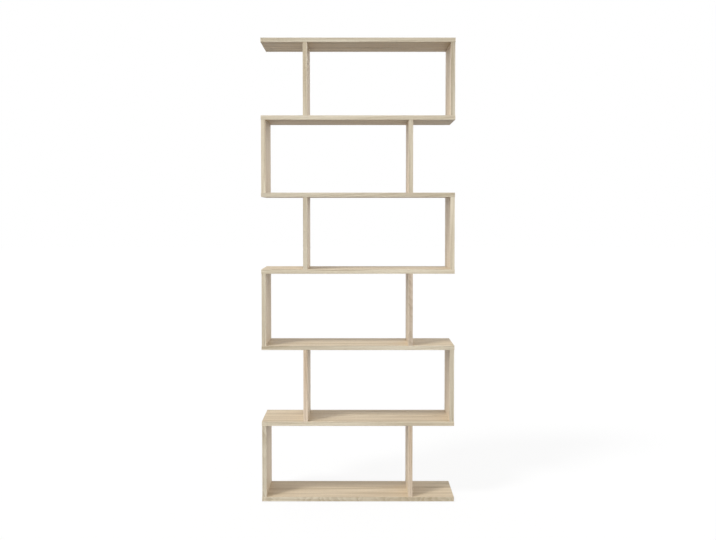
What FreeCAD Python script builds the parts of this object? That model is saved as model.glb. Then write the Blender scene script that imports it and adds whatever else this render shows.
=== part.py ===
"""Zigzag bookshelf of melamine-faced particle board, as a flat-pack set of separate pieces.

Equal shelves are held apart by tiers of uprights. Every tier has a side panel at one end of the
shelves and a divider set in from the other end. The two change ends from tier to tier, so that the
uprights zigzag up the front. An upright is joined to the shelf below it and to the shelf above it by
connecting screws, driven through the shelf into the upright's end, and by wooden dowels.

Millimetres, +Z up, the front faces -Y. The origin is on the floor, under the middle of the shelves.
"""

import FreeCAD, Part

import math
import os
from collections import namedtuple

from FreeCAD import Placement, Rotation, Vector

# Boards
SHELF_LENGTH = 800.0
SHELF_DEPTH = 250.0
BOARD_THICKNESS = 18.0
UPRIGHT_HEIGHT = 299.0
TIER_COUNT = 6
END_BAY_LENGTH = 173.0  # from a shelf's end to the outer face of the nearest divider
REVEAL = 1.0  # how far a shelf stands proud of its uprights at the front, the back and the end

# Edge bands, glued to the cut edges of the boards
BAND_THICKNESS = 0.8
BAND_EDGE_RADIUS = 0.5

# Places of the fittings along a joint
SCREW_EDGE_DISTANCE = 37.0  # from the shelf's front or back edge
DOWEL_FROM_SCREW = 32.0

# Connecting screw: a countersunk head, a plain shank as long as the shelf is thick, and a coarse thread
SCREW_LENGTH = 50.0
SCREW_DIAMETER = 7.0
SCREW_HEAD_OVERHANG = 1.5  # how far the head stands out past the shank, all round
SCREW_HEAD_RIM = 1.0
SCREW_THREAD_HEIGHT = 1.1
SCREW_CREST_WIDTH = 0.4
SCREW_FLANK_WIDTH = 0.6
SCREW_ROOT_WIDTH = 1.4
SCREW_TIP_LENGTH = 4.0
SCREW_TIP_DIAMETER = 2.0
SCREW_CLEARANCE = 0.1
SCREW_HOLE_END_GAP = 2.0
SOCKET_ACROSS_FLATS = 4.0
SOCKET_DEPTH = 3.5

# Dowel, seated on the bottom of its hole in the shelf
DOWEL_DIAMETER = 8.0
DOWEL_LENGTH = 30.0
DOWEL_IN_SHELF = 10.0
DOWEL_CHAMFER = 1.0
DOWEL_CLEARANCE = 0.1
DOWEL_HOLE_END_GAP = 1.0  # in the upright

# Self-adhesive cover cap over each screw head that is not under the bottom shelf
CAP_MARGIN = 1.5  # how far the cap reaches past the screw head
CAP_THICKNESS = 0.4
CAP_EDGE_RADIUS = 0.2

# Nail-on glides under the bottom shelf
GLIDE_DIAMETER = 20.0
GLIDE_HEIGHT = 2.0
GLIDE_EDGE_RADIUS = 0.6
GLIDE_END_DISTANCE = 36.0  # from the shelf's end to the middle of a glide
GLIDE_EDGE_DISTANCE = 30.0  # from the shelf's front or back edge to the middle of a glide
NAIL_LENGTH = 12.0  # under the head
NAIL_DIAMETER = 2.0
NAIL_HEAD_DIAMETER = 5.0
NAIL_HEAD_HEIGHT = 0.5
NAIL_HEAD_RECESS = 0.3  # from the glide's underside up to the nail's head
NAIL_TIP_LENGTH = 3.0
NAIL_TIP_DIAMETER = 0.4
NAIL_CLEARANCE = 0.05
NAIL_HOLE_END_GAP = 0.5

# Angle brackets on the top shelf, which hold the bookshelf to a wall
BRACKET_END_DISTANCE = 140.0  # from the shelf's end to the middle of a bracket
BRACKET_LEG = 25.0
BRACKET_WIDTH = 18.0
BRACKET_THICKNESS = 2.0
BRACKET_BEND_RADIUS = 1.5  # on the inside of the bend
BRACKET_CORNER_RADIUS = 4.0
BRACKET_HOLE_EDGE_DISTANCE = 10.0  # from the end of each leg to the middle of its hole
WALL_HOLE_DIAMETER = 5.0

# Pan-head wood screw that holds a bracket to the top shelf
WOOD_SCREW_LENGTH = 13.0  # under the head
WOOD_SCREW_DIAMETER = 3.5
WOOD_SCREW_THREAD_HEIGHT = 0.55
WOOD_SCREW_CREST_WIDTH = 0.2
WOOD_SCREW_FLANK_WIDTH = 0.4
WOOD_SCREW_ROOT_WIDTH = 0.6
WOOD_SCREW_TIP_LENGTH = 2.5
WOOD_SCREW_TIP_DIAMETER = 0.4
WOOD_SCREW_HEAD_DIAMETER = 7.5
WOOD_SCREW_HEAD_HEIGHT = 2.4
WOOD_SCREW_HEAD_RADIUS = 1.4
WOOD_SCREW_CLEARANCE = 0.5  # in the bracket
WOOD_SCREW_HOLE_CLEARANCE = 0.05  # in the shelf
WOOD_SCREW_HOLE_END_GAP = 0.5
CROSS_RECESS_LENGTH = 4.4
CROSS_RECESS_WIDTH = 0.9
CROSS_RECESS_DEPTH = 1.6

# Cuts run this far past the faces that they open.
OVERRUN = 1.0
# A fillet takes at most this share of the wall that it rounds.
FILLET_LIMIT_SHARE = 0.9
# Coordinates that differ by less than this are the same.
SAME_PLACE = 1e-6
HEX_SIDES = 6
FULL_TURN = 360

TIER_PITCH = BOARD_THICKNESS + UPRIGHT_HEIGHT
UPRIGHT_DEPTH = SHELF_DEPTH - 2 * REVEAL
SCREW_DEPTH = SHELF_DEPTH / 2 - SCREW_EDGE_DISTANCE
SCREW_HEAD_DIAMETER = SCREW_DIAMETER + 2 * SCREW_HEAD_OVERHANG
SCREW_CORE_DIAMETER = SCREW_DIAMETER - 2 * SCREW_THREAD_HEIGHT
SCREW_CONE_END = SCREW_HEAD_RIM + SCREW_HEAD_OVERHANG  # the cone stands at 45 degrees
DOWEL_DEPTH = SCREW_DEPTH - DOWEL_FROM_SCREW
NAIL_HEAD_TOP = NAIL_HEAD_RECESS + NAIL_HEAD_HEIGHT
BRACKET_HOLE_DISTANCE = BRACKET_LEG - BRACKET_HOLE_EDGE_DISTANCE  # from the outside of the bend
WOOD_SCREW_CORE_DIAMETER = WOOD_SCREW_DIAMETER - 2 * WOOD_SCREW_THREAD_HEIGHT
BOTH_WAYS = (-1, 1)

# An upright stands on the shelf of its level, and x is the middle of its thickness.
Upright = namedtuple("Upright", "node level x")
# A joint is where an upright meets the shelf of that level, at the height of the face that they share.
# Way is 1 where the upright stands on the shelf, and -1 where it carries the shelf.
Joint = namedtuple("Joint", "node level x face way")


def shelf_node(level):
    """The name of a shelf. Levels count up from the floor."""
    if level == 0:
        return "bottom_shelf"
    if level == TIER_COUNT:
        return "top_shelf"
    return f"shelf_{level + 1}"


def shelf_bottom(level):
    """The height of a shelf's lower face."""
    return GLIDE_HEIGHT + level * TIER_PITCH


def shelf_top(level):
    """The height of a shelf's upper face."""
    return shelf_bottom(level) + BOARD_THICKNESS


def list_uprights():
    """A side panel and a divider for each tier, which change ends from tier to tier."""
    side_x = SHELF_LENGTH / 2 - REVEAL - BOARD_THICKNESS / 2
    divider_x = SHELF_LENGTH / 2 - END_BAY_LENGTH - BOARD_THICKNESS / 2
    found = []
    for level in range(TIER_COUNT):
        tier = f"tier_{level + 1}"
        if level % 2 == 0:
            found.append(Upright(f"{tier}_left_side", level, -side_x))
            found.append(Upright(f"{tier}_right_divider", level, divider_x))
        else:
            found.append(Upright(f"{tier}_right_side", level, side_x))
            found.append(Upright(f"{tier}_left_divider", level, -divider_x))
    return found


def list_joints():
    """The foot and the head of every upright."""
    found = []
    for node, level, x in list_uprights():
        found.append(Joint(node, level, x, shelf_top(level), 1))
        found.append(Joint(node, level + 1, x, shelf_bottom(level + 1), -1))
    return found


def screw_places(joint):
    """Where the screws' heads lie, flush with the far face of the joint's shelf: (x, y, z, way)."""
    head = joint.face - joint.way * BOARD_THICKNESS
    return [(joint.x, sign * SCREW_DEPTH, head, joint.way) for sign in BOTH_WAYS]


def dowel_places(joint):
    """Where the dowels cross the face that shelf and upright share: (x, y, z, way)."""
    return [(joint.x, sign * DOWEL_DEPTH, joint.face, joint.way) for sign in BOTH_WAYS]


def glide_places():
    """The middles of the glides on the floor, at both ends and the middle of the bottom shelf."""
    x = SHELF_LENGTH / 2 - GLIDE_END_DISTANCE
    y = SHELF_DEPTH / 2 - GLIDE_EDGE_DISTANCE
    return [(column * x, sign * y, 0) for column in (-1, 0, 1) for sign in BOTH_WAYS]


def bracket_place(sign):
    """Where the outside of a bracket's bend lies, over the back edge of the top shelf."""
    return sign * (SHELF_LENGTH / 2 - BRACKET_END_DISTANCE), SHELF_DEPTH / 2, shelf_top(TIER_COUNT)


def wood_screw_place(sign):
    """Where the underside of a wood screw's head lies on its bracket."""
    x, y, z = bracket_place(sign)
    return x, y - BRACKET_HOLE_DISTANCE, z + BRACKET_THICKNESS


# Shapes that the pieces are made of


def box_between(low, high):
    """A box from its lowest to its highest corner."""
    size = high - low
    return Part.makeBox(size.x, size.y, size.z, low)


def rod(diameter, low, high):
    """A cylinder about Z."""
    return Part.makeCylinder(diameter / 2, high - low, Vector(0, 0, low))


def hex_rod(across_flats, low, high):
    """A six-sided prism about Z."""
    spoke = Vector(across_flats / 2 / math.cos(math.pi / HEX_SIDES), 0, low)
    turns = [Rotation(Vector(0, 0, 1), side * FULL_TURN / HEX_SIDES) for side in range(HEX_SIDES)]
    corners = [turn.multVec(spoke) for turn in turns]
    return Part.Face(Part.makePolygon(corners + corners[:1])).extrude(Vector(0, 0, high - low))


def turned(outline):
    """A solid of revolution about Z, from (radius, height) corners that start and end on Z."""
    corners = [Vector(radius, 0, height) for radius, height in outline]
    face = Part.Face(Part.makePolygon(corners + corners[:1]))
    return face.revolve(Vector(0, 0, 0), Vector(0, 0, 1), FULL_TURN)


def thread_outline(start, end, core_diameter, crest_diameter, crest_width, flank_width, root_width):
    """The (radius, height) corners of a thread, with one ridge for each turn."""
    pitch = crest_width + 2 * flank_width + root_width
    corners = []
    for turn in range(int((end - start) / pitch)):
        low = start + turn * pitch
        crest = low + flank_width
        corners += [
            (core_diameter / 2, low),
            (crest_diameter / 2, crest),
            (crest_diameter / 2, crest + crest_width),
            (core_diameter / 2, crest + crest_width + flank_width),
        ]
    return corners


def placed(shape, x, y, z, way=1):
    """A copy of a shape that was drawn about Z, moved there and, where way is -1, turned over."""
    turn = Rotation(Vector(1, 0, 0), 0 if way > 0 else FULL_TURN / 2)
    return shape.transformed(Placement(Vector(x, y, z), turn).toMatrix(), True)


def cut_away(solid, tools):
    """The solid that is left once every tool is cut from it."""
    return solid.cut(tools).Solids[0]


def same(first, second):
    """Whether two coordinates are the same."""
    return abs(first - second) < SAME_PLACE


def edges_where(solid, test):
    """The edges whose ends all pass a test of their place."""
    return [edge for edge in solid.Edges if all(test(vertex.Point) for vertex in edge.Vertexes)]


def rounded(solid, radius, wall, edges):
    """The solid with those edges filleted, as far as the wall behind them allows."""
    return solid.makeFillet(min(radius, FILLET_LIMIT_SHARE * wall), edges).Solids[0]


# Fittings


def make_screw():
    """A connecting screw that points up. The outer face of its head is at 0."""
    thread_end = SCREW_LENGTH - SCREW_TIP_LENGTH
    outline = [
        (0, 0),
        (SCREW_HEAD_DIAMETER / 2, 0),
        (SCREW_HEAD_DIAMETER / 2, SCREW_HEAD_RIM),
        (SCREW_DIAMETER / 2, SCREW_CONE_END),
        (SCREW_DIAMETER / 2, BOARD_THICKNESS),
        *thread_outline(
            BOARD_THICKNESS,
            thread_end,
            SCREW_CORE_DIAMETER,
            SCREW_DIAMETER,
            SCREW_CREST_WIDTH,
            SCREW_FLANK_WIDTH,
            SCREW_ROOT_WIDTH,
        ),
        (SCREW_CORE_DIAMETER / 2, thread_end),
        (SCREW_TIP_DIAMETER / 2, SCREW_LENGTH),
        (0, SCREW_LENGTH),
    ]
    return cut_away(turned(outline), [hex_rod(SOCKET_ACROSS_FLATS, -OVERRUN, SOCKET_DEPTH)])


def make_screw_hole_in_shelf():
    """What a screw takes out of its shelf. Its countersink lies on the cone of the screw's head."""
    head = SCREW_HEAD_DIAMETER / 2 + SCREW_CLEARANCE
    shank = SCREW_DIAMETER / 2 + SCREW_CLEARANCE
    return turned(
        [
            (0, -OVERRUN),
            (head, -OVERRUN),
            (head, SCREW_HEAD_RIM - SCREW_CLEARANCE),
            (shank, SCREW_CONE_END - SCREW_CLEARANCE),
            (shank, BOARD_THICKNESS + OVERRUN),
            (0, BOARD_THICKNESS + OVERRUN),
        ]
    )


def make_screw_hole_in_upright():
    """What a screw takes out of its upright, as wide as the thread's crest."""
    diameter = SCREW_DIAMETER + 2 * SCREW_CLEARANCE
    return rod(diameter, BOARD_THICKNESS - OVERRUN, SCREW_LENGTH + SCREW_HOLE_END_GAP)


def make_dowel():
    """A dowel with chamfered ends. It points up from its shelf, whose face is at 0, into its upright."""
    low = -DOWEL_IN_SHELF
    high = low + DOWEL_LENGTH
    radius = DOWEL_DIAMETER / 2
    return turned(
        [
            (0, low),
            (radius - DOWEL_CHAMFER, low),
            (radius, low + DOWEL_CHAMFER),
            (radius, high - DOWEL_CHAMFER),
            (radius - DOWEL_CHAMFER, high),
            (0, high),
        ]
    )


def make_dowel_hole():
    """What a dowel takes out of its shelf and its upright."""
    top = DOWEL_LENGTH - DOWEL_IN_SHELF + DOWEL_HOLE_END_GAP
    return rod(DOWEL_DIAMETER + 2 * DOWEL_CLEARANCE, -DOWEL_IN_SHELF, top)


def make_cap():
    """A cover cap, on the far side of the shelf from the screw's tip, with its outer rim rounded."""
    disc = rod(SCREW_HEAD_DIAMETER + 2 * CAP_MARGIN, -CAP_THICKNESS, 0)
    rim = edges_where(disc, lambda point: same(point.z, -CAP_THICKNESS))
    return rounded(disc, CAP_EDGE_RADIUS, CAP_THICKNESS, rim)


def make_glide():
    """A glide that stands on 0, with its lower rim rounded and a stepped hole for its nail."""
    disc = rod(GLIDE_DIAMETER, 0, GLIDE_HEIGHT)
    rim = edges_where(disc, lambda point: same(point.z, 0))
    disc = rounded(disc, GLIDE_EDGE_RADIUS, GLIDE_HEIGHT, rim)
    head_hole = rod(NAIL_HEAD_DIAMETER + 2 * NAIL_CLEARANCE, -OVERRUN, NAIL_HEAD_TOP)
    return cut_away(disc, [head_hole, make_nail_hole()])


def make_nail():
    """A nail that points up, with its head inside its glide."""
    tip = NAIL_HEAD_TOP + NAIL_LENGTH
    return turned(
        [
            (0, NAIL_HEAD_RECESS),
            (NAIL_HEAD_DIAMETER / 2, NAIL_HEAD_RECESS),
            (NAIL_HEAD_DIAMETER / 2, NAIL_HEAD_TOP),
            (NAIL_DIAMETER / 2, NAIL_HEAD_TOP),
            (NAIL_DIAMETER / 2, tip - NAIL_TIP_LENGTH),
            (NAIL_TIP_DIAMETER / 2, tip),
            (0, tip),
        ]
    )


def make_nail_hole():
    """What a nail's shank takes out of its glide and the bottom shelf."""
    top = NAIL_HEAD_TOP + NAIL_LENGTH + NAIL_HOLE_END_GAP
    return rod(NAIL_DIAMETER + 2 * NAIL_CLEARANCE, 0, top)


def make_bracket():
    """An angle bracket. The outside of its bend is at 0, and its legs run to the front and up."""
    middle = BRACKET_WIDTH / 2
    foot = box_between(Vector(-middle, -BRACKET_LEG, 0), Vector(middle, 0, BRACKET_THICKNESS))
    leg = box_between(Vector(-middle, -BRACKET_THICKNESS, 0), Vector(middle, 0, BRACKET_LEG))
    angle = foot.fuse(leg).removeSplitter().Solids[0]
    inside = edges_where(
        angle, lambda point: same(point.y, -BRACKET_THICKNESS) and same(point.z, BRACKET_THICKNESS)
    )
    angle = angle.makeFillet(BRACKET_BEND_RADIUS, inside).Solids[0]
    outside = edges_where(angle, lambda point: same(point.y, 0) and same(point.z, 0))
    angle = angle.makeFillet(BRACKET_BEND_RADIUS + BRACKET_THICKNESS, outside).Solids[0]
    for x in (-middle, middle):
        corners = edges_where(angle, lambda point: same(point.x, x) and same(point.y, -BRACKET_LEG))
        corners += edges_where(angle, lambda point: same(point.x, x) and same(point.z, BRACKET_LEG))
        angle = rounded(angle, BRACKET_CORNER_RADIUS, middle, corners)
    foot_hole = placed(
        rod(WOOD_SCREW_DIAMETER + 2 * WOOD_SCREW_CLEARANCE, -OVERRUN, BRACKET_THICKNESS + OVERRUN),
        0,
        -BRACKET_HOLE_DISTANCE,
        0,
    )
    wall_hole = Part.makeCylinder(
        WALL_HOLE_DIAMETER / 2,
        BRACKET_THICKNESS + 2 * OVERRUN,
        Vector(0, -BRACKET_THICKNESS - OVERRUN, BRACKET_HOLE_DISTANCE),
        Vector(0, 1, 0),
    )
    return cut_away(angle, [foot_hole, wall_hole])


def make_wood_screw():
    """A wood screw that points down, with a cross recess. The underside of its head is at 0."""
    tip_end = WOOD_SCREW_TIP_LENGTH - WOOD_SCREW_LENGTH
    outline = [
        (0, -WOOD_SCREW_LENGTH),
        (WOOD_SCREW_TIP_DIAMETER / 2, -WOOD_SCREW_LENGTH),
        *thread_outline(
            tip_end,
            0,
            WOOD_SCREW_CORE_DIAMETER,
            WOOD_SCREW_DIAMETER,
            WOOD_SCREW_CREST_WIDTH,
            WOOD_SCREW_FLANK_WIDTH,
            WOOD_SCREW_ROOT_WIDTH,
        ),
        (WOOD_SCREW_CORE_DIAMETER / 2, 0),
        (WOOD_SCREW_HEAD_DIAMETER / 2, 0),
        (WOOD_SCREW_HEAD_DIAMETER / 2, WOOD_SCREW_HEAD_HEIGHT),
        (0, WOOD_SCREW_HEAD_HEIGHT),
    ]
    screw = turned(outline)
    rim = edges_where(screw, lambda point: same(point.z, WOOD_SCREW_HEAD_HEIGHT) and not same(point.x, 0))
    screw = rounded(screw, WOOD_SCREW_HEAD_RADIUS, WOOD_SCREW_HEAD_HEIGHT, rim)
    long_half = CROSS_RECESS_LENGTH / 2
    short_half = CROSS_RECESS_WIDTH / 2
    floor = WOOD_SCREW_HEAD_HEIGHT - CROSS_RECESS_DEPTH
    roof = WOOD_SCREW_HEAD_HEIGHT + OVERRUN
    slots = [
        box_between(Vector(-x, -y, floor), Vector(x, y, roof))
        for x, y in ((long_half, short_half), (short_half, long_half))
    ]
    return cut_away(screw, slots)


def make_wood_screw_hole():
    """What a wood screw takes out of the top shelf."""
    diameter = WOOD_SCREW_DIAMETER + 2 * WOOD_SCREW_HOLE_CLEARANCE
    return rod(diameter, -WOOD_SCREW_LENGTH - WOOD_SCREW_HOLE_END_GAP, 0)


# Boards and their edge bands


def make_shelf(level):
    """A shelf's board, drilled for what is fastened to it."""
    corner = Vector(SHELF_LENGTH / 2 - BAND_THICKNESS, SHELF_DEPTH / 2 - BAND_THICKNESS, shelf_top(level))
    board = box_between(Vector(-corner.x, -corner.y, shelf_bottom(level)), corner)
    screw_hole = make_screw_hole_in_shelf()
    dowel_hole = make_dowel_hole()
    holes = []
    for joint in list_joints():
        if joint.level == level:
            holes += [placed(screw_hole, *place) for place in screw_places(joint)]
            holes += [placed(dowel_hole, *place) for place in dowel_places(joint)]
    if level == 0:
        holes += [placed(make_nail_hole(), *place) for place in glide_places()]
    if level == TIER_COUNT:
        holes += [placed(make_wood_screw_hole(), *wood_screw_place(sign)) for sign in BOTH_WAYS]
    return cut_away(board, holes)


def make_upright(upright):
    """An upright's board, drilled at its foot and its head."""
    middle = BOARD_THICKNESS / 2
    depth = UPRIGHT_DEPTH / 2 - BAND_THICKNESS
    board = box_between(
        Vector(upright.x - middle, -depth, shelf_top(upright.level)),
        Vector(upright.x + middle, depth, shelf_bottom(upright.level + 1)),
    )
    screw_hole = make_screw_hole_in_upright()
    dowel_hole = make_dowel_hole()
    holes = []
    for joint in list_joints():
        if joint.node == upright.node:
            holes += [placed(screw_hole, *place) for place in screw_places(joint)]
            holes += [placed(dowel_hole, *place) for place in dowel_places(joint)]
    return cut_away(board, holes)


def make_band(low, high, is_outer, ends_free):
    """An edge band. The long edges of its outer face are rounded, and where its ends are free, all four."""
    strip = box_between(low, high)
    edges = sorted(edges_where(strip, is_outer), key=lambda edge: edge.Length)
    if not ends_free:
        edges = edges[len(edges) // 2 :]
    return rounded(strip, BAND_EDGE_RADIUS, BAND_THICKNESS, edges)


def make_long_bands(low_x, high_x, depth, low_z, high_z, ends_free):
    """The bands on the front and the back edge of a board of that depth."""
    bands = []
    for sign in BOTH_WAYS:
        outer = sign * depth / 2
        near, far = sorted((outer, outer - sign * BAND_THICKNESS))
        bands.append(
            make_band(
                Vector(low_x, near, low_z),
                Vector(high_x, far, high_z),
                lambda point: same(point.y, outer),
                ends_free,
            )
        )
    return bands


def make_shelf_bands(level):
    """The bands of a shelf: the front and the back one run past the two at the ends."""
    low_z = shelf_bottom(level)
    high_z = shelf_top(level)
    end = SHELF_LENGTH / 2
    depth = SHELF_DEPTH / 2 - BAND_THICKNESS
    bands = make_long_bands(-end, end, SHELF_DEPTH, low_z, high_z, True)
    for sign in BOTH_WAYS:
        outer = sign * end
        left, right = sorted((outer, outer - sign * BAND_THICKNESS))
        bands.append(
            make_band(
                Vector(left, -depth, low_z),
                Vector(right, depth, high_z),
                lambda point: same(point.x, outer),
                False,
            )
        )
    return bands


def make_upright_bands(upright):
    """The bands of an upright, on its front and back edges between two shelves."""
    middle = BOARD_THICKNESS / 2
    low_z = shelf_top(upright.level)
    high_z = shelf_bottom(upright.level + 1)
    return make_long_bands(upright.x - middle, upright.x + middle, UPRIGHT_DEPTH, low_z, high_z, False)


# The whole bookshelf: the solids of each node


def list_pieces():
    """Every node's solids, by its name."""
    pieces = {}
    for level in range(TIER_COUNT + 1):
        pieces[shelf_node(level)] = [make_shelf(level)]
        pieces[f"{shelf_node(level)}_edge_bands"] = make_shelf_bands(level)
    for upright in list_uprights():
        pieces[upright.node] = [make_upright(upright)]
        pieces[f"{upright.node}_edge_bands"] = make_upright_bands(upright)
    screw_list = [place for joint in list_joints() for place in screw_places(joint)]
    dowel_list = [place for joint in list_joints() for place in dowel_places(joint)]
    cap_list = [place for place in screw_list if not same(place[2], shelf_bottom(0))]
    groups = {
        "connecting_screws": (make_screw(), screw_list),
        "dowels": (make_dowel(), dowel_list),
        "screw_caps": (make_cap(), cap_list),
        "floor_glides": (make_glide(), glide_places()),
        "glide_nails": (make_nail(), glide_places()),
        "wall_bracket_left": (make_bracket(), [bracket_place(-1)]),
        "wall_bracket_right": (make_bracket(), [bracket_place(1)]),
        "bracket_screws": (make_wood_screw(), [wood_screw_place(sign) for sign in BOTH_WAYS]),
    }
    for node, (shape, places) in groups.items():
        pieces[node] = [placed(shape, *place) for place in places]
    return pieces


os.makedirs("parts", exist_ok=True)
for node, solids in list_pieces().items():
    Part.makeCompound(solids).exportStep(f"parts/{node}.step")
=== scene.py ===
"""Looks of the zigzag bookshelf: pale oak boards with edge bands, their fittings, the light and the camera.

Metres, +Z up, the front faces -Y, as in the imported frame. Colours are linear RGB.
"""

import math
import random
from collections import namedtuple

import bpy
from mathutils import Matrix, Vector


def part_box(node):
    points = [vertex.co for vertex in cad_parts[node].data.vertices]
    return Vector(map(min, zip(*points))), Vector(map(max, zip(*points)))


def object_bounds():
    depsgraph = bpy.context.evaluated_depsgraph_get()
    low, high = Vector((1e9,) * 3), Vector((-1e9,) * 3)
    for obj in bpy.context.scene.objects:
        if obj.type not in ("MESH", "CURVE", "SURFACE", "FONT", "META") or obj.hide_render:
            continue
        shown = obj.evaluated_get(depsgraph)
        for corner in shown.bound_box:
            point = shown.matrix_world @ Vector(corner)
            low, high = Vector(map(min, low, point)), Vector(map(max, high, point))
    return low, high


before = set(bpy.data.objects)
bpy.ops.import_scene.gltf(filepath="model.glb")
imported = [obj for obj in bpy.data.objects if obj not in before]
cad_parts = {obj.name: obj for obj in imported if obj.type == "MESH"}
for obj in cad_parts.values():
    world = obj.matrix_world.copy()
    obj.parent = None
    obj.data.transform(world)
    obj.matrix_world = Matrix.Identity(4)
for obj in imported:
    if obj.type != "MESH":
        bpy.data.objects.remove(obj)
cad_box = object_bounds()

MM = 0.001
IMAGE_WIDTH = 716
WHITE = (1, 1, 1)

# Names in the frame
UPRIGHT_PREFIX = "tier_"
BAND_SUFFIX = "_edge_bands"
ZINC_PLATED = (
    "connecting_screws",
    "glide_nails",
    "wall_bracket_left",
    "wall_bracket_right",
    "bracket_screws",
)

# A noise has so many cells to the metre, alike or for each direction, and so many octaves. Where it has
# a low and a high level, it is 0 below the one, 1 above the other and rises between them.
Noise = namedtuple("Noise", "cells octaves low high", defaults=(2, None, None))
NOISE_MIDDLE = 0.5

# Oak print on the boards, bands and caps; the uprights' tint also holds painted light
OAK_PALE = (0.77, 0.65, 0.47)
OAK_DARK = (0.465, 0.353, 0.218)
OAK_PORE = (0.28, 0.2, 0.115)
SHELF_TINT = WHITE
# Uprights: a cooler print than the shelves, and painted light that makes their faces brighter, for the light
# they get from the sides
UPRIGHT_PRINT_AND_LIGHT_TINT = (1.03, 1.05, 1.13)
BRIGHTNESS_SPREAD = 0.02  # how far a board's brightness may differ from the mean
NOISE_SHIFT = 4  # how far apart the patterns of two boards may be cut from the same print
FACE_SLOPES = (0.7, 0.8)  # a normal's part straight out of the board, from raw edge to printed face
OAK_SHINE = 0.35
OAK_ROUGHNESS = 0.48
TONE_ROUGHNESS = 0.1  # more, where the wood is dark
PORE_ROUGHNESS = 0.2  # more, in the pores

# Growth rings. Noises of the oak print are given along, across and through the grain
RING_PITCH = 4.5 * MM
RING_WANDER = 16 * MM
WANDER_NOISE = Noise((1.8, 7, 7))
RING_UNEVENNESS = 90 * MM  # along the grain
UNEVENNESS_NOISE = Noise((16, 30, 30))
YEAR_NOISE = Noise((85, 0.5, 0))  # out from the heart, along the grain
YEAR_SPREAD = 1.2  # rings
MARKED_YEARS = (0.3, 0.65)  # levels of the year noise, from plain to marked rings
EARLY_WOOD_START_SHARES = (0, 0.12)  # of a ring
EARLY_WOOD_END_SHARES = (0.2, 0.95)  # of a ring

# Figure between the rings, and the share of each part in how dark the wood is
BROAD_NOISE = Noise((1.5, 34, 34), octaves=3, low=0.38, high=0.66)
STREAK_NOISE = Noise((2.2, 120, 120), octaves=3, low=0.36, high=0.66)
FIBRE_NOISE = Noise((8, 400, 400), octaves=3, low=0.25, high=0.75)
PORE_NOISE = Noise((60, 1700, 1700), octaves=1, low=0.57, high=0.68)
SAW_MARK_NOISE = Noise((380, 8, 8), octaves=1)
BROAD_SHARE = 0.38
STREAK_SHARE = 0.3
FIBRE_SHARE = 0.18
EARLY_WOOD_SHARE = 0.36
SAW_MARK_SHARE = 0.1
LATE_PORE_SHARE = 0.25  # of the pores, outside the early wood
PORE_COLOUR_SHARE = 0.55
FIBRE_DEPTH = 0.02 * MM
SAW_MARK_DEPTH = 0.02 * MM
PORE_DEPTH = 0.07 * MM

# Where the heart of the tree lies from the middle of a board: across it, through it, and how fast it leans
BOARD_HEART_ACROSS = (-90 * MM, 90 * MM)
BOARD_HEART_THROUGH = (20 * MM, 70 * MM)
BAND_HEART_ACROSS = (35 * MM, 100 * MM)
BAND_HEART_THROUGH = (5 * MM, 30 * MM)
HEART_LEAN = (0.015, 0.04)

# Raw particle board, where a board's cut edges and holes show
CHIP_PALE = (0.60, 0.46, 0.30)
CHIP_DARK = (0.36, 0.25, 0.14)
CHIPS_PER_METRE = 420
CHIP_BEND = 6 * MM
CHIP_BEND_NOISE = Noise(90)
CHIP_DEPTH = 0.25 * MM
CHIP_SHADE_SHARE = 0.7  # the rest is dust
CHIP_ROUGHNESS = 0.85
DUST_NOISE = Noise(2500)
DUST_ROUGHNESS = 0.1

# Edge bands, cut from cooler or warmer strips, some paler or darker than the others
BAND_TINT = (0.945, 1.015, 1.11)
WARM_BAND_TINT = (1.01, 1.0, 1.09)
WARM_BANDS = ("tier_1_right_divider", "tier_2_left_divider", "tier_3_right_divider")
BAND_BRIGHTNESS = {
    "bottom_shelf": 1.05,
    "shelf_2": 1.09,
    "shelf_4": 1.07,
    "shelf_5": 0.965,
    "top_shelf": 0.935,
    "tier_1_left_side": 0.97,
    "tier_1_right_divider": 1.01,
    "tier_2_left_divider": 1.08,
    "tier_2_right_side": 0.95,
    "tier_3_right_divider": 0.8,
    "tier_4_right_side": 1.07,
    "tier_5_left_side": 1.09,
    "tier_6_left_divider": 1.07,
    "tier_6_right_side": 0.89,
}
# Strips with a lively figure: lean, heart across and heart through
BAND_FIGURES = {
    "bottom_shelf": (0.16, 3 * MM, 12 * MM),
    "tier_1_left_side": (0.05, 10 * MM, 14 * MM),
    "tier_3_right_divider": (0.15, 14 * MM, 16 * MM),
}
BAND_WORN = (0.76, 0.69, 0.57)
BAND_WEAR_WIDTH = 0.9 * MM
BAND_WEAR_SHARE = 0.6
RUBBING_NOISE = Noise(35, octaves=3, low=0.42, high=0.68)
GLUE_COLOUR = (0.36, 0.29, 0.20)
GLUE_LINE_WIDTH = 0.15 * MM
GLUE_SHARE = 0.7

# Foil of the screw caps
EMBOSSING_NOISE = Noise(1800, octaves=1)

# Zinc-plated steel
ZINC_BRIGHT = (0.64, 0.65, 0.67)
ZINC_DULL = (0.42, 0.43, 0.45)
ZINC_ROUGHNESS = 0.2
CLOUD_NOISE = Noise(160, octaves=3)
CLOUD_SHARE = 0.7  # the rest is spangle
CLOUD_ROUGHNESS = 0.2
SPANGLE_NOISE = Noise(1400)
SPANGLE_DEPTH = 0.008 * MM
SCRATCH_NOISE = Noise((150, 3500, 900), octaves=1, low=0.62, high=0.7)
SCRATCH_DEPTH = 0.01 * MM
SCRATCH_ROUGHNESS = 0.15

# Raw beech of the dowels, which stand upright
BEECH_PALE = (0.66, 0.47, 0.31)
BEECH_DARK = (0.50, 0.32, 0.19)
BEECH_ROUGHNESS = 0.65
BEECH_FIBRE_NOISE = Noise((1300, 1300, 60), octaves=3)
BEECH_FIBRE_SHARE = 0.6  # the rest is flecks
BEECH_FIBRE_DEPTH = 0.05 * MM
BEECH_FIBRE_ROUGHNESS = 0.1
FLECK_NOISE = Noise((900, 900, 160), octaves=1, low=0.6, high=0.7)

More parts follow.
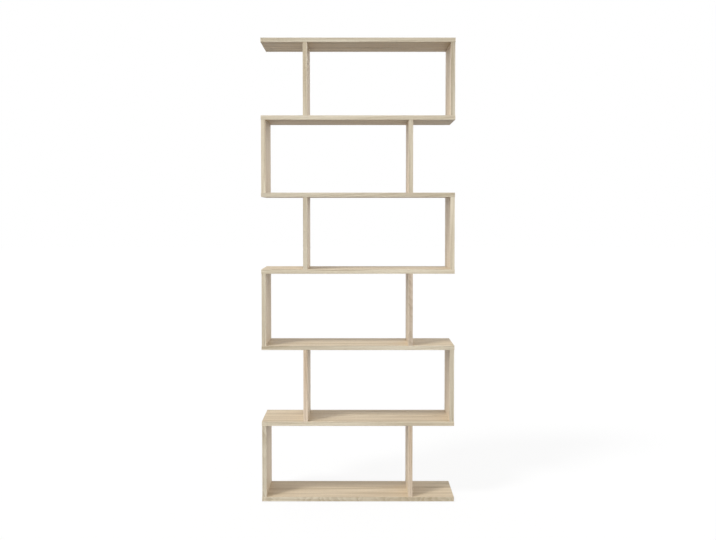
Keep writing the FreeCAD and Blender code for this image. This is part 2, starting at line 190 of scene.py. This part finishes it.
# Moulded plastic of the glides
GLIDE_CLEAN = (0.74, 0.72, 0.68)
GLIDE_SCUFFED = (0.52, 0.49, 0.44)
GLIDE_ROUGHNESS = 0.4
GRIT_NOISE = Noise(2600)
GRIT_SHARE = 0.1
GRIT_DEPTH = 0.02 * MM
GRIT_ROUGHNESS = 0.1
SCUFF_NOISE = Noise((90, 1500, 90), low=0.45, high=0.7)
SCUFF_HEIGHT = 0.4 * MM
SCUFF_SHARE = 0.7
SCUFF_ROUGHNESS = 0.2

# Light and floor
SUN_TRAVEL = Vector((1.1, 1.1, -2))
SUN_STRENGTH = 1.63
SUN_SPREAD_DEGREES = 12
SKY_STRENGTH = 0.25
HORIZON_STRENGTH = 2.4  # more, where the sky meets the floor
HORIZON_FALL = 2  # the power by which that fades away from the horizon
FLOOR_SIDE = 60
FLOOR_DROP = 0.2 * MM
FLOOR_GREY = 0.225
FLOOR_GLOW_SHARE = 0.88  # of the floor's brightness, where the camera sees it

# Camera
CAMERA_PLACE = (0, -4.217, 1.2032)
CAMERA_TILT_DEGREES = 2.248  # downwards
CAMERA_FOCAL_PIXELS = 991.5
CAMERA_SHIFT = -0.025
SENSOR_WIDTH = 36
LEVEL_DEGREES = 90  # from looking straight down to looking level


# Node helpers

# The mixing node names the sockets of each kind alike, so they go by place: two inputs and the output
MIX_SOCKETS = {"RGBA": (6, 7, 2), "VECTOR": (4, 5, 1)}


class Value:
    """A number or vector that shader nodes work out, so that formulas read as plain sums."""

    def __init__(self, tree, socket):
        self.tree = tree
        self.socket = socket

    def maths(self, operation, *others):
        return add(self.tree, "ShaderNodeMath", (self, *others), operation=operation)

    def __add__(self, other):
        return self.maths("ADD", other)

    def __sub__(self, other):
        return self.maths("SUBTRACT", other)

    def __mul__(self, other):
        return self.maths("MULTIPLY", other)

    def __truediv__(self, other):
        return self.maths("DIVIDE", other)

    def __pow__(self, other):
        return self.maths("POWER", other)

    def __abs__(self):
        return self.maths("ABSOLUTE")

    def inverse(self):
        return add(self.tree, "ShaderNodeMath", (1, self), operation="SUBTRACT")

    def largest(self, other):
        return self.maths("MAXIMUM", other)

    def fraction(self):
        return self.maths("FRACT")

    def rise(self, low, high):
        """0 below low, 1 above high and a smooth rise between them."""
        inputs = {"Value": self, "From Min": low, "From Max": high}
        return add(self.tree, "ShaderNodeMapRange", inputs, interpolation_type="SMOOTHSTEP")

    def parts(self):
        """The three numbers of a vector."""
        node = self.tree.nodes.new("ShaderNodeSeparateXYZ")
        self.tree.links.new(self.socket, node.inputs[0])
        return [Value(self.tree, output) for output in node.outputs]


def connect(tree, socket, value):
    if isinstance(value, Value):
        tree.links.new(value.socket, socket)
    else:
        socket.default_value = value


def add(tree, kind, inputs=(), output=0, **settings):
    """Adds a node, gives it settings and inputs, by place or by name, and returns one of its outputs."""
    node = tree.nodes.new(kind)
    for name, setting in settings.items():
        setattr(node, name, setting)
    given = inputs.items() if isinstance(inputs, dict) else enumerate(inputs)
    for key, value in given:
        connect(tree, node.inputs[key], value)
    return Value(tree, node.outputs[output])


def show(tree, shader, output="ShaderNodeOutputMaterial"):
    """Ends a material's or a world's nodes in this shader."""
    connect(tree, tree.nodes.new(output).inputs["Surface"], shader)


def combined(tree, x, y, z):
    return add(tree, "ShaderNodeCombineXYZ", (x, y, z))


def vector_sum(tree, first, second):
    return add(tree, "ShaderNodeVectorMath", (first, second), operation="ADD")


def noise(tree, place, kind):
    """Noise of this kind, from 0 to 1."""
    cells = kind.cells if isinstance(kind.cells, tuple) else (kind.cells,) * 3
    stretched = add(tree, "ShaderNodeVectorMath", (place, cells), operation="MULTIPLY")
    drawn = add(tree, "ShaderNodeTexNoise", {"Vector": stretched, "Scale": 1, "Detail": kind.octaves})
    return drawn if kind.low is None else drawn.rise(kind.low, kind.high)


def mix(tree, kind, share, first, second):
    """Something of this kind between two others."""
    first_input, second_input, output = MIX_SOCKETS[kind]
    inputs = {0: share, first_input: first, second_input: second}
    return add(tree, "ShaderNodeMix", inputs, output=output, data_type=kind)


def mixed(tree, share, first, second):
    """A colour between two colours."""
    return mix(tree, "RGBA", share, opaque(first), opaque(second))


def mixed_vector(tree, share, first, second):
    return mix(tree, "VECTOR", share, first, second)


def opaque(colour):
    return colour if isinstance(colour, Value) else (*colour, 1)


def grey(level):
    return (level, level, level)


def tinted(colour, tint):
    return tuple(channel * share for channel, share in zip(colour, tint))


def place_in_frame(tree):
    return add(tree, "ShaderNodeTexCoord", output="Object")


def new_material(name):
    material = bpy.data.materials.new(name)
    material.use_nodes = True
    material.node_tree.nodes.clear()
    return material, material.node_tree


def finish_surface(tree, colour, roughness, height, **constants):
    """Joins a colour, a roughness and a height in metres to a shader. Constants go on its own sockets."""
    normal = add(tree, "ShaderNodeBump", {"Height": height, "Distance": 1})
    inputs = {"Base Color": colour, "Roughness": roughness, "Normal": normal}
    inputs.update({name.replace("_", " "): value for name, value in constants.items()})
    show(tree, add(tree, "ShaderNodeBsdfPrincipled", inputs))


# Patterns

def make_oak_pattern():
    """Node group with the grain of oak at a place given along, across and through the board.

    Heart says how fast the heart of the tree leans through the board, and where it lies across and through
    it. Growth rings lie round the heart. Shift picks another part of the noise.
    """
    tree = bpy.data.node_groups.new("oak_pattern", "ShaderNodeTree")
    for name in ("Grain", "Shift", "Heart"):
        tree.interface.new_socket(name, in_out="INPUT", socket_type="NodeSocketVector")
    for name in ("Tone", "Pores", "Height"):
        tree.interface.new_socket(name, in_out="OUTPUT", socket_type="NodeSocketFloat")
    entry = tree.nodes.new("NodeGroupInput")
    grain, shift, heart = [Value(tree, entry.outputs[name]) for name in ("Grain", "Shift", "Heart")]
    along, across, through = grain.parts()
    lean, heart_across, heart_through = heart.parts()
    print_place = vector_sum(tree, grain, shift)

    wander = noise(tree, print_place, WANDER_NOISE) - NOISE_MIDDLE
    ring_across = across - heart_across + wander * RING_WANDER
    unevenness = noise(tree, print_place, UNEVENNESS_NOISE) - NOISE_MIDDLE
    ring_through = through - heart_through + (along + unevenness * RING_UNEVENNESS) * lean
    distance = (ring_across ** 2 + ring_through ** 2) ** 0.5
    years = noise(tree, vector_sum(tree, combined(tree, distance, along, 0), shift), YEAR_NOISE)
    ring = (distance / RING_PITCH + years * YEAR_SPREAD).fraction()
    start = ring.rise(*EARLY_WOOD_START_SHARES)
    end = ring.rise(*EARLY_WOOD_END_SHARES)
    early_wood = start * end.inverse() * years.rise(*MARKED_YEARS)

    broad = noise(tree, print_place, BROAD_NOISE)
    streaks = noise(tree, print_place, STREAK_NOISE)
    fibres = noise(tree, print_place, FIBRE_NOISE)
    saw_marks = noise(tree, print_place, SAW_MARK_NOISE) - NOISE_MIDDLE
    pore_places = early_wood * (1 - LATE_PORE_SHARE) + LATE_PORE_SHARE
    pores = noise(tree, print_place, PORE_NOISE) * pore_places

    figure = broad * BROAD_SHARE + streaks * STREAK_SHARE + fibres * FIBRE_SHARE
    tone = figure + early_wood * EARLY_WOOD_SHARE + saw_marks * SAW_MARK_SHARE
    height = fibres * FIBRE_DEPTH + saw_marks * SAW_MARK_DEPTH - pores * PORE_DEPTH

    leave = tree.nodes.new("NodeGroupOutput")
    for name, value in (("Tone", tone), ("Pores", pores), ("Height", height)):
        connect(tree, leave.inputs[name], value)
    return tree


OAK_PATTERN = make_oak_pattern()


def oak_surface(tree, grain, figure, tint):
    """Colour, roughness and height of the printed oak."""
    node = tree.nodes.new("ShaderNodeGroup")
    node.node_tree = OAK_PATTERN
    for name, value in (("Grain", grain), ("Shift", figure.shift), ("Heart", figure.heart)):
        connect(tree, node.inputs[name], value)
    tone, pores, height = [Value(tree, output) for output in node.outputs]
    wood = mixed(tree, tone, tinted(OAK_PALE, tint), tinted(OAK_DARK, tint))
    colour = mixed(tree, pores * PORE_COLOUR_SHARE, wood, tinted(OAK_PORE, tint))
    roughness = pores * PORE_ROUGHNESS + tone * TONE_ROUGHNESS + OAK_ROUGHNESS
    return colour, roughness, height


def chip_surface(tree):
    """Colour, roughness and height of raw particle board."""
    place = place_in_frame(tree)
    bend = noise(tree, place, CHIP_BEND_NOISE) * CHIP_BEND
    bent_place = vector_sum(tree, place, combined(tree, bend, bend, bend))
    inputs = {"Vector": bent_place, "Scale": CHIPS_PER_METRE}
    shade, rise, _ = add(tree, "ShaderNodeTexVoronoi", inputs, output="Color").parts()
    dust = noise(tree, place, DUST_NOISE)
    darkness = shade * CHIP_SHADE_SHARE + dust * (1 - CHIP_SHADE_SHARE)
    colour = mixed(tree, darkness, CHIP_PALE, CHIP_DARK)
    return colour, dust * DUST_ROUGHNESS + CHIP_ROUGHNESS, rise * CHIP_DEPTH


# Boards and bands

# A board's cut: its shift in the print, the heart's lean and place, and its brightness
Figure = namedtuple("Figure", "shift heart brightness")


def draw_figure(name, heart_across, heart_through):
    """Where a board's pattern was cut from the print and from the tree: the same for a name each time."""
    draw = random.Random(name)
    shift = [draw.uniform(-NOISE_SHIFT, NOISE_SHIFT) for _ in range(3)]
    across = draw.choice((-1, 1)) * draw.uniform(*heart_across)
    through = draw.choice((-1, 1)) * draw.uniform(*heart_through)
    lean = draw.choice((-1, 1)) * draw.uniform(*HEART_LEAN)
    brightness = 1 + draw.uniform(-BRIGHTNESS_SPREAD, BRIGHTNESS_SPREAD)
    return Figure(shift, (lean, across, through), brightness)


def place_on_board(tree, board):
    """Coordinates from the middle of a board, and half its size."""
    low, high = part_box(board)
    middle = (low + high) / 2
    place = [value - offset for value, offset in zip(place_in_frame(tree).parts(), middle)]
    return place, (high - low) / 2


def make_board_material(board, upright):
    """Oak print on the two faces of a board, and raw particle board on its cut edges and in its holes."""
    material, tree = new_material(board + "_oak")
    (x, y, z), _ = place_on_board(tree, board)
    normal_x, _, normal_z = add(tree, "ShaderNodeNewGeometry", output="True Normal").parts()
    if upright:
        grain = combined(tree, z, y, x)
        facing = normal_x
        # The uprights' tint holds painted light: their faces are brightened for the light they get from the
        # sides
        board_tint = UPRIGHT_PRINT_AND_LIGHT_TINT
    else:
        grain = combined(tree, x, y, z)
        facing = normal_z
        board_tint = SHELF_TINT
    figure = draw_figure(board, BOARD_HEART_ACROSS, BOARD_HEART_THROUGH)
    tint = tinted(board_tint, grey(figure.brightness))
    colour, roughness, height = oak_surface(tree, grain, figure, tint)
    chip_colour, chip_roughness, chip_height = chip_surface(tree)
    faced = abs(facing).rise(*FACE_SLOPES)
    finish_surface(
        tree,
        mixed(tree, faced, chip_colour, colour),
        roughness * faced + chip_roughness * faced.inverse(),
        height * faced + chip_height * faced.inverse(),
        Specular_IOR_Level=OAK_SHINE,
    )
    return material


def make_band_material(board, upright):
    """Bands of one board: the grain runs along each strip, the outer edges are worn, the glue shows."""
    material, tree = new_material(board + "_band_oak")
    (x, y, z), half = place_on_board(tree, board)
    past_front = abs(y) - half.y
    if upright:
        grain = combined(tree, z, x, y)
        outer_edge = abs(x).rise(half.x - BAND_WEAR_WIDTH, half.x)
        past_board = past_front
    else:
        past_end = abs(x) - half.x
        at_end = past_end.rise(0, GLUE_LINE_WIDTH)
        grain = mixed_vector(tree, at_end, combined(tree, x, z, y), combined(tree, y, z, x))
        outer_edge = abs(z).rise(half.z - BAND_WEAR_WIDTH, half.z)
        past_board = past_front.largest(past_end)
    figure = draw_figure(board + "_band", BAND_HEART_ACROSS, BAND_HEART_THROUGH)
    heart = BAND_FIGURES.get(board, figure.heart)
    brightness = BAND_BRIGHTNESS.get(board, figure.brightness)
    tint = tinted(WARM_BAND_TINT if board in WARM_BANDS else BAND_TINT, grey(brightness))
    colour, roughness, height = oak_surface(tree, grain, figure._replace(heart=heart), tint)
    rubbing = noise(tree, place_in_frame(tree), RUBBING_NOISE)
    worn = mixed(tree, outer_edge * rubbing * BAND_WEAR_SHARE, colour, BAND_WORN)
    glue = past_board.rise(0, GLUE_LINE_WIDTH).inverse() * GLUE_SHARE
    glued = mixed(tree, glue, worn, GLUE_COLOUR)
    finish_surface(tree, glued, roughness, height, Specular_IOR_Level=OAK_SHINE)
    return material


# Fittings

def make_cap_material():
    """The oak print on an embossed foil."""
    material, tree = new_material("cap_foil_oak")
    place = place_in_frame(tree)
    figure = draw_figure("screw_caps", BAND_HEART_ACROSS, BAND_HEART_THROUGH)
    colour, roughness, height = oak_surface(tree, place, figure, grey(figure.brightness))
    embossing = noise(tree, place, EMBOSSING_NOISE)
    finish_surface(tree, colour, roughness, height + embossing * FIBRE_DEPTH, Specular_IOR_Level=OAK_SHINE)
    return material


def make_zinc_material():
    """Zinc plating with dull clouds, fine spangle and scratches."""
    material, tree = new_material("zinc_plating")
    place = place_in_frame(tree)
    clouds = noise(tree, place, CLOUD_NOISE)
    spangle = noise(tree, place, SPANGLE_NOISE)
    scratches = noise(tree, place, SCRATCH_NOISE)
    dullness = clouds * CLOUD_SHARE + spangle * (1 - CLOUD_SHARE)
    colour = mixed(tree, dullness, ZINC_BRIGHT, ZINC_DULL)
    roughness = clouds * CLOUD_ROUGHNESS + scratches * SCRATCH_ROUGHNESS + ZINC_ROUGHNESS
    height = spangle * SPANGLE_DEPTH - scratches * SCRATCH_DEPTH
    finish_surface(tree, colour, roughness, height, Metallic=1)
    return material


def make_beech_material():
    """Raw beech with fine fibres and short flecks."""
    material, tree = new_material("raw_beech")
    place = place_in_frame(tree)
    fibres = noise(tree, place, BEECH_FIBRE_NOISE)
    flecks = noise(tree, place, FLECK_NOISE)
    darkness = fibres * BEECH_FIBRE_SHARE + flecks * (1 - BEECH_FIBRE_SHARE)
    colour = mixed(tree, darkness, BEECH_PALE, BEECH_DARK)
    roughness = fibres * BEECH_FIBRE_ROUGHNESS + BEECH_ROUGHNESS
    finish_surface(tree, colour, roughness, fibres * BEECH_FIBRE_DEPTH, Specular_IOR_Level=OAK_SHINE)
    return material


def make_glide_material():
    """Off-white moulded plastic, scuffed where it slides on the floor."""
    material, tree = new_material("glide_plastic")
    place = place_in_frame(tree)
    _, _, z = place.parts()
    underside = z.rise(0, SCUFF_HEIGHT).inverse()
    grit = noise(tree, place, GRIT_NOISE)
    scuffs = noise(tree, place, SCUFF_NOISE) * underside
    colour = mixed(tree, scuffs * SCUFF_SHARE + grit * GRIT_SHARE, GLIDE_CLEAN, GLIDE_SCUFFED)
    roughness = grit * GRIT_ROUGHNESS + scuffs * SCUFF_ROUGHNESS + GLIDE_ROUGHNESS
    finish_surface(tree, colour, roughness, grit * GRIT_DEPTH)
    return material


# Stage, light and camera

def shown_rays(tree):
    """1 for the rays that show the background: to the camera, and through gloss and glass."""
    path = tree.nodes.new("ShaderNodeLightPath")
    camera, glossy, transmission = [
        Value(tree, path.outputs[name]) for name in ("Is Camera Ray", "Is Glossy Ray", "Is Transmission Ray")
    ]
    return camera.largest(glossy).largest(transmission)


def make_floor():
    """A floor that looks white apart from the object's shadow, and lights the object as a grey one would."""
    half = FLOOR_SIDE / 2
    height = cad_box[0].z - FLOOR_DROP
    corners = [(-half, -half, height), (half, -half, height), (half, half, height), (-half, half, height)]
    mesh = bpy.data.meshes.new("floor")
    mesh.from_pydata(corners, [], [(0, 1, 2, 3)])
    floor = bpy.data.objects.new("floor", mesh)
    bpy.context.scene.collection.objects.link(floor)
    material, tree = new_material("white_floor")
    glow = add(tree, "ShaderNodeEmission", {"Color": opaque(WHITE), "Strength": FLOOR_GLOW_SHARE})
    shaded = add(tree, "ShaderNodeBsdfDiffuse", {"Color": opaque(grey(1 - FLOOR_GLOW_SHARE))})
    seen = add(tree, "ShaderNodeAddShader", (glow, shaded))
    unseen = add(tree, "ShaderNodeBsdfDiffuse", {"Color": opaque(grey(FLOOR_GREY))})
    show(tree, add(tree, "ShaderNodeMixShader", (shown_rays(tree), unseen, seen)))
    mesh.materials.append(material)


def light_scene():
    """One soft sun from the front left, and a sky that is brightest at the horizon and looks white."""
    lamp = bpy.data.lights.new("sun", "SUN")
    lamp.energy = SUN_STRENGTH
    lamp.angle = math.radians(SUN_SPREAD_DEGREES)
    sun = bpy.data.objects.new("sun", lamp)
    sun.rotation_euler = SUN_TRAVEL.to_track_quat("-Z", "Y").to_euler()
    bpy.context.scene.collection.objects.link(sun)
    world = bpy.data.worlds.new("white_studio")
    world.use_nodes = True
    tree = world.node_tree
    tree.nodes.clear()
    _, _, rise = add(tree, "ShaderNodeTexCoord", output="Generated").parts()
    lighting = abs(rise).inverse() ** HORIZON_FALL * HORIZON_STRENGTH + SKY_STRENGTH
    shown = shown_rays(tree)
    strength = shown + lighting * shown.inverse()
    sky = add(tree, "ShaderNodeBackground", {"Color": opaque(WHITE), "Strength": strength})
    show(tree, sky, "ShaderNodeOutputWorld")
    bpy.context.scene.world = world


def place_camera():
    data = bpy.data.cameras.new("camera")
    data.sensor_width = SENSOR_WIDTH
    data.lens = CAMERA_FOCAL_PIXELS * SENSOR_WIDTH / IMAGE_WIDTH
    data.shift_y = CAMERA_SHIFT
    camera = bpy.data.objects.new("camera", data)
    camera.location = CAMERA_PLACE
    camera.rotation_euler = (math.radians(LEVEL_DEGREES - CAMERA_TILT_DEGREES), 0, 0)
    bpy.context.scene.collection.objects.link(camera)
    bpy.context.scene.camera = camera


# Dressing the frame

def dress(node, material):
    """Puts a material in place of the node's own."""
    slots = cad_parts[node].data.materials
    slots.clear()
    slots.append(material)


boards = [name.removesuffix(BAND_SUFFIX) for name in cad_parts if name.endswith(BAND_SUFFIX)]
for board in boards:
    is_upright = board.startswith(UPRIGHT_PREFIX)
    dress(board, make_board_material(board, is_upright))
    dress(board + BAND_SUFFIX, make_band_material(board, is_upright))

zinc = make_zinc_material()
for fitting in ZINC_PLATED:
    dress(fitting, zinc)
dress("screw_caps", make_cap_material())
dress("dowels", make_beech_material())
dress("floor_glides", make_glide_material())

make_floor()
light_scene()
place_camera()
bpy.context.scene.view_settings.view_transform = "Standard"
